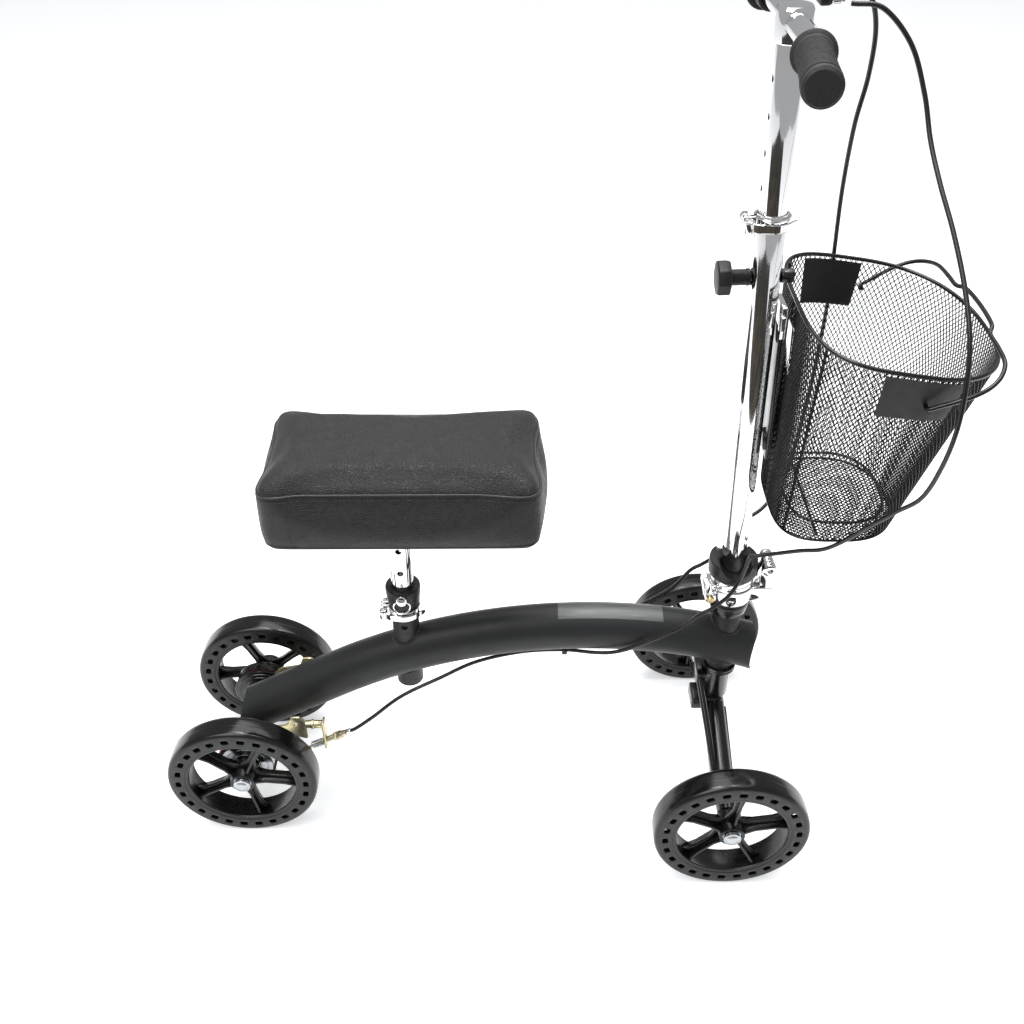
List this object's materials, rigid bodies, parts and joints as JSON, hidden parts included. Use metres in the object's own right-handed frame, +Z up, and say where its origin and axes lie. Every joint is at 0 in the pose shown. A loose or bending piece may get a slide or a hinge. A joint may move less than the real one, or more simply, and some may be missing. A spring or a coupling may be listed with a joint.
{
  "type": "knee scooter",
  "caption": "Steerable knee scooter with a padded knee rest, folding stem, handbrake and wire mesh basket.",
  "frame": {"origin": "centre of the footprint on the floor, under the middle of the whole scooter", "axes": "+X forwards, +Y to the rider's left, +Z up"},
  "size_m": [0.9726, 0.4348, 1.0572],
  "materials": {
    "frame_black": "matt black powder coat",
    "gloss_black": "gloss black",
    "gloss_paint": "gloss black enamel",
    "chrome": "polished chrome plate",
    "steel": "turned steel",
    "zinc": "yellow zinc plate",
    "tyre": "glossy black solid polyurethane",
    "plastic": "black nylon",
    "rubber": "soft black rubber",
    "vinyl": "grained black vinyl over foam",
    "cable": "black PVC jacket",
    "lining": "woven red brake lining on a steel strap"
  },
  "bodies": {
    "frame": {"main_tube": "frame_black", "head_tube": "frame_black", "seat_tube": "frame_black", "rear_axle_housing": "frame_black", "rear_axle": "chrome", "headset_upper": "gloss_paint", "headset_lower": "gloss_paint", "seat_collar": "plastic", "seat_clamp": "chrome", "brake_cover_left": "gloss_paint", "brake_cover_right": "gloss_paint", "brake_band_left": "lining", "brake_band_right": "lining", "brake_bracket_left": "zinc", "brake_bracket_right": "zinc", "cable_lower_left": "cable", "cable_lower_right": "cable"},
    "rear_right_wheel": {"tyre_rear_right": "tyre", "wheel_rear_right": "gloss_black", "brake_drum_right": "steel"},
    "rear_left_wheel": {"tyre_rear_left": "tyre", "wheel_rear_left": "gloss_black", "brake_drum_left": "steel"},
    "brake_arm_right": {"brake_arm_right": "zinc"},
    "brake_arm_left": {"brake_arm_left": "zinc"},
    "seat_clamp_lever": {"seat_clamp_lever": "chrome"},
    "seat_pin": {"seat_pin": "chrome"},
    "seat": {"seat_post": "chrome", "pad_plate": "steel", "knee_pad": "vinyl"},
    "fork": {"steerer": "gloss_paint", "axle_beam": "gloss_paint", "axle_bolt_left": "chrome", "axle_bolt_right": "chrome", "fold_yoke": "chrome"},
    "front_right_wheel": {"tyre_front_right": "tyre", "wheel_front_right": "gloss_black"},
    "front_left_wheel": {"tyre_front_left": "tyre", "wheel_front_left": "gloss_black"},
    "fold_lever": {"fold_lever": "chrome"},
    "stem": {"stem_socket": "plastic", "stem_knuckle": "chrome", "stem_tube": "chrome", "stem_clamp": "chrome", "basket_bracket": "frame_black", "cable_middle_left": "cable", "cable_middle_right": "cable"},
    "stem_clamp_lever": {"stem_clamp_lever": "chrome"},
    "thumb_knob": {"thumb_knob": "plastic"},
    "handlebar": {"upper_post": "chrome", "handlebar": "chrome", "grip_left": "rubber", "grip_right": "rubber", "brake_perch": "plastic", "cable_upper_left": "cable", "cable_upper_right": "cable"},
    "brake_lever": {"brake_lever": "gloss_paint"},
    "basket": {"basket": "frame_black"},
    "basket_bail": {"basket_bail": "frame_black"}
  },
  "joints": [
    {"name": "steering", "type": "hinge", "parent": "frame", "child": "fork", "pos_m": [0.25771, 0, 0.25], "axis": [0, 0, 1], "range_deg": [-40, 40], "deforming": ["cable_lower_left", "cable_lower_right"]},
    {"name": "rear_right_spin", "type": "hinge", "parent": "frame", "child": "rear_right_wheel", "pos_m": [-0.38629, -0.097, 0.1], "axis": [0, 1, 0], "continuous": true},
    {"name": "rear_left_spin", "type": "hinge", "parent": "frame", "child": "rear_left_wheel", "pos_m": [-0.38629, 0.097, 0.1], "axis": [0, 1, 0], "continuous": true},
    {"name": "front_right_spin", "type": "hinge", "parent": "fork", "child": "front_right_wheel", "pos_m": [0.25771, -0.184, 0.1], "axis": [0, 1, 0], "continuous": true},
    {"name": "front_left_spin", "type": "hinge", "parent": "fork", "child": "front_left_wheel", "pos_m": [0.25771, 0.184, 0.1], "axis": [0, 1, 0], "continuous": true},
    {"name": "brake_arm_right_pull", "type": "hinge", "parent": "frame", "child": "brake_arm_right", "pos_m": [-0.33629, -0.0595, 0.128], "axis": [0, 1, 0], "range_deg": [-8, 1]},
    {"name": "brake_arm_left_pull", "type": "hinge", "parent": "frame", "child": "brake_arm_left", "pos_m": [-0.33629, 0.0595, 0.128], "axis": [0, 1, 0], "range_deg": [-8, 1]},
    {"name": "seat_clamp_lever_open", "type": "hinge", "parent": "frame", "child": "seat_clamp_lever", "pos_m": [-0.18899, -0.0125, 0.3175], "axis": [0, 0, -1], "range_deg": [0, 110]},
    {"name": "seat_pin_pull", "type": "slide", "parent": "frame", "child": "seat_pin", "axis": [0, -1, 0], "range_m": [0, 0.008], "stiffness_N_per_m": 400, "springref_m": -0.01},
    {"name": "seat_height", "type": "slide", "parent": "frame", "child": "seat", "axis": [0, 0, 1], "range_m": [-0.05, 0.06]},
    {"name": "fold_lever_open", "type": "hinge", "parent": "fork", "child": "fold_lever", "pos_m": [0.22771, -0.0218, 0.3537], "axis": [0, -1, 0], "range_deg": [0, 75]},
    {"name": "stem_fold", "type": "hinge", "parent": "fork", "child": "stem", "pos_m": [0.29871, 0, 0.394], "axis": [0, 1, 0], "range_deg": [0, 90], "deforming": ["cable_middle_left", "cable_middle_right"]},
    {"name": "stem_clamp_lever_open", "type": "hinge", "parent": "stem", "child": "stem_clamp_lever", "pos_m": [0.21566, -0.0125, 0.84434], "axis": [0.0349, 0, -0.9994], "range_deg": [0, 110]},
    {"name": "thumb_knob_turn", "type": "hinge", "parent": "stem", "child": "thumb_knob", "pos_m": [0.21239, 0, 0.78319], "axis": [0.9994, 0, 0.0349], "range_deg": [0, 360]},
    {"name": "handlebar_height", "type": "slide", "parent": "stem", "child": "handlebar", "axis": [-0.0349, 0, 0.9994], "range_m": [-0.15, 0.02], "deforming": ["cable_upper_left", "cable_upper_right"]},
    {"name": "brake_lever_pull", "type": "hinge", "parent": "handlebar", "child": "brake_lever", "pos_m": [0.26747, 0.1005, 1.03976], "axis": [-0.0349, 0, 0.9994], "range_deg": [0, 15], "stiffness_Nm_per_rad": 0.6, "springref_deg": -20.05},
    {"name": "basket_lift", "type": "slide", "parent": "stem", "child": "basket", "axis": [-0.0349, 0, 0.9994], "range_m": [0, 0.12]},
    {"name": "bail_swing", "type": "hinge", "parent": "basket", "child": "basket_bail", "pos_m": [0.38871, 0, 0.706], "axis": [0, -1, 0], "range_deg": [-6, 95]}
  ],
  "couplings": [
    {"joint": "brake_arm_right_pull", "follows": "brake_lever_pull", "ratio": -0.4},
    {"joint": "brake_arm_left_pull", "follows": "brake_lever_pull", "ratio": -0.4}
  ]
}
